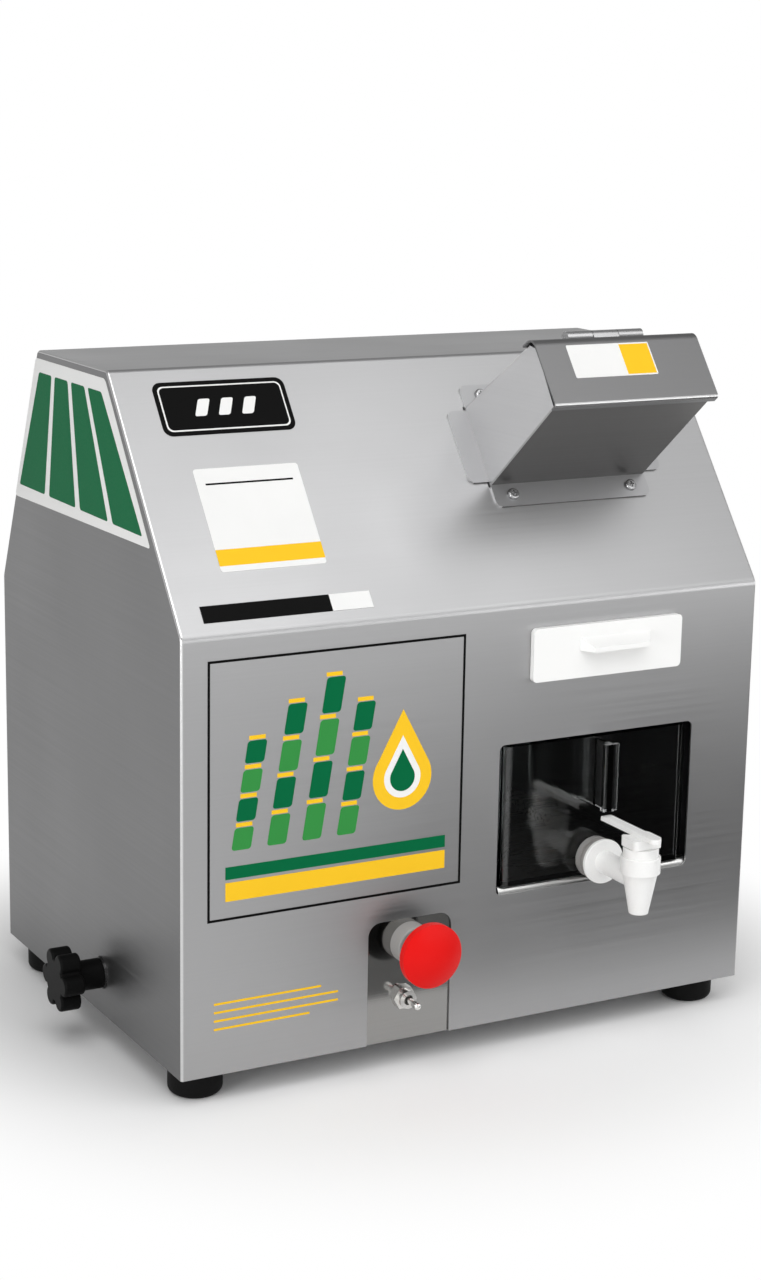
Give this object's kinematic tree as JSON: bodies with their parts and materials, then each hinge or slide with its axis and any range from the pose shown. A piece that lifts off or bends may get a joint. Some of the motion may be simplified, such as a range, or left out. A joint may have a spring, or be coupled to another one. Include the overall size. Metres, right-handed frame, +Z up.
{
  "type": "sugarcane juicer",
  "caption": "Table-top electric sugarcane juicer: stainless cabinet with feed chute and flap, geared rollers, strainer drawer, clear juice tank with tap, stop button and rear fibre outlet.",
  "frame": {"origin": "on the floor, under the middle of the bounding box", "axes": "+Z up, front faces -Y, +X to the viewer's right"},
  "size_m": [0.486, 0.446, 0.4689],
  "materials": {
    "stainless": "satin brushed stainless sheet",
    "polished_steel": "polished",
    "roller_steel": "turned stainless",
    "plate_paint": "grey paint",
    "gear_steel": "oiled machined steel",
    "pulley_iron": "cast",
    "bush_bronze": "turned bronze",
    "motor_paint": "dark grey-blue paint",
    "black_rubber": "matt",
    "black_plastic": "fine texture",
    "white_plastic": "smooth",
    "clear_plastic": "clear",
    "red_plastic": "smooth",
    "grey_plastic": "smooth",
    "grey_rubber": "matt"
  },
  "bodies": {
    "frame": {"hood_wrap": "stainless", "hood_left_side": "stainless", "hood_right_side": "stainless", "base_pan": "stainless", "feed_chute": "stainless", "bagasse_hood": "stainless", "juice_funnel": "stainless", "tank_shelf": "stainless", "drawer_rails": "stainless", "scraper_plate": "stainless", "chute_hinge_leaf": "stainless", "hinge_pin": "stainless", "switch_panel": "polished_steel", "toggle_nut": "polished_steel", "hood_screws": "polished_steel", "foot_screws": "polished_steel", "trash_plate": "roller_steel", "tie_rods": "roller_steel", "left_cheek": "plate_paint", "right_cheek": "plate_paint", "gear_plate": "plate_paint", "shaft_bushes": "bush_bronze", "motor_housing": "motor_paint", "feet": "black_rubber", "drive_belt": "black_rubber", "estop_contact_block": "black_plastic", "toggle_body": "black_plastic", "cord_gland": "black_plastic", "estop_collar": "grey_plastic"},
    "motor_rotor": {"motor_shaft": "gear_steel", "motor_pulley": "pulley_iron"},
    "first_shaft": {"first_pinion_shaft": "gear_steel", "large_pulley": "pulley_iron"},
    "second_shaft": {"second_pinion_shaft": "gear_steel", "first_gear": "gear_steel"},
    "top_roller": {"top_roller": "roller_steel", "bull_gear": "gear_steel", "top_crown_gear": "gear_steel"},
    "feed_roller": {"feed_roller": "roller_steel", "feed_crown_gear": "gear_steel"},
    "discharge_roller": {"discharge_roller": "roller_steel", "discharge_crown_gear": "gear_steel"},
    "feed_flap": {"feed_flap": "stainless", "flap_hinge_leaf": "stainless"},
    "strainer_drawer": {"strainer_drawer": "white_plastic", "strainer_plate": "stainless"},
    "juice_tank": {"juice_tank": "clear_plastic", "tank_handle": "clear_plastic", "tap_body": "white_plastic", "tap_gasket": "grey_rubber", "tap_nut": "polished_steel"},
    "tap_valve": {"tap_lever": "white_plastic", "tap_stem": "white_plastic"},
    "estop_plunger": {"estop_stem": "grey_plastic"},
    "estop_head": {"estop_button": "red_plastic"},
    "toggle_lever": {"toggle_lever": "polished_steel"},
    "knob_left_washer": {"knob_left_washer": "polished_steel"},
    "knob_left": {"knob_left": "black_plastic"},
    "knob_right_washer": {"knob_right_washer": "polished_steel"},
    "knob_right": {"knob_right": "black_plastic"}
  },
  "joints": [
    {"name": "motor_spin", "type": "hinge", "parent": "frame", "child": "motor_rotor", "pos_m": [-0.1985, 0.04, 0.1095], "axis": [1, 0, 0], "continuous": true},
    {"name": "first_shaft_spin", "type": "hinge", "parent": "frame", "child": "first_shaft", "pos_m": [-0.0345, 0.04144, 0.29034], "axis": [1, 0, 0], "continuous": true},
    {"name": "second_shaft_spin", "type": "hinge", "parent": "frame", "child": "second_shaft", "pos_m": [-0.0345, 0.06221, 0.34742], "axis": [1, 0, 0], "continuous": true},
    {"name": "top_roller_spin", "type": "hinge", "parent": "frame", "child": "top_roller", "pos_m": [0.0905, -0.00826, 0.37307], "axis": [1, 0, 0], "continuous": true},
    {"name": "feed_roller_spin", "type": "hinge", "parent": "frame", "child": "feed_roller", "pos_m": [0.0905, -0.04458, 0.32531], "axis": [1, 0, 0], "continuous": true},
    {"name": "discharge_roller_spin", "type": "hinge", "parent": "frame", "child": "discharge_roller", "pos_m": [0.0905, 0.02376, 0.32233], "axis": [1, 0, 0], "continuous": true},
    {"name": "feed_flap_hinge", "type": "hinge", "parent": "frame", "child": "feed_flap", "pos_m": [0.0905, -0.13378, 0.46489], "axis": [-1, 0, 0], "range_deg": [0, 105]},
    {"name": "strainer_drawer_slide", "type": "slide", "parent": "frame", "child": "strainer_drawer", "axis": [0, -1, 0], "range_m": [0, 0.185]},
    {"name": "juice_tank_slide", "type": "slide", "parent": "frame", "child": "juice_tank", "axis": [0, -1, 0], "range_m": [0, 0.18]},
    {"name": "tap_turn", "type": "hinge", "parent": "juice_tank", "child": "tap_valve", "pos_m": [0.0875, -0.204, 0.1464], "axis": [0, 0, 1], "range_deg": [0, 90]},
    {"name": "estop_push", "type": "slide", "parent": "frame", "child": "estop_plunger", "axis": [0, 1, 0], "range_m": [0, 0.005]},
    {"name": "estop_twist", "type": "hinge", "parent": "estop_plunger", "child": "estop_head", "pos_m": [-0.0505, -0.1653, 0.0855], "axis": [0, 1, 0], "range_deg": [0, 45]},
    {"name": "toggle_tilt", "type": "hinge", "parent": "frame", "child": "toggle_lever", "pos_m": [-0.0543, -0.1525, 0.0492], "axis": [1, 0, 0], "range_deg": [-12, 12]},
    {"name": "knob_left_creep", "type": "slide", "parent": "frame", "child": "knob_left_washer", "axis": [-1, 0, 0], "range_m": [0, 0.0051]},
    {"name": "knob_left_turn", "type": "hinge", "parent": "knob_left_washer", "child": "knob_left", "pos_m": [-0.21, -0.022, 0.048], "axis": [-1, 0, 0], "range_deg": [0, 1440]},
    {"name": "knob_right_creep", "type": "slide", "parent": "frame", "child": "knob_right_washer", "axis": [1, 0, 0], "range_m": [0, 0.0051]},
    {"name": "knob_right_turn", "type": "hinge", "parent": "knob_right_washer", "child": "knob_right", "pos_m": [0.21, -0.022, 0.048], "axis": [1, 0, 0], "range_deg": [0, 1440]}
  ],
  "couplings": [
    {"joint": "first_shaft_spin", "follows": "motor_spin", "ratio": 0.326},
    {"joint": "second_shaft_spin", "follows": "motor_spin", "ratio": -0.086593},
    {"joint": "top_roller_spin", "follows": "motor_spin", "ratio": 0.025381},
    {"joint": "feed_roller_spin", "follows": "motor_spin", "ratio": -0.025381},
    {"joint": "discharge_roller_spin", "follows": "motor_spin", "ratio": -0.025381},
    {"joint": "knob_left_creep", "follows": "knob_left_turn", "m_per_rad": 0.00019894},
    {"joint": "knob_right_creep", "follows": "knob_right_turn", "m_per_rad": 0.00019894}
  ]
}
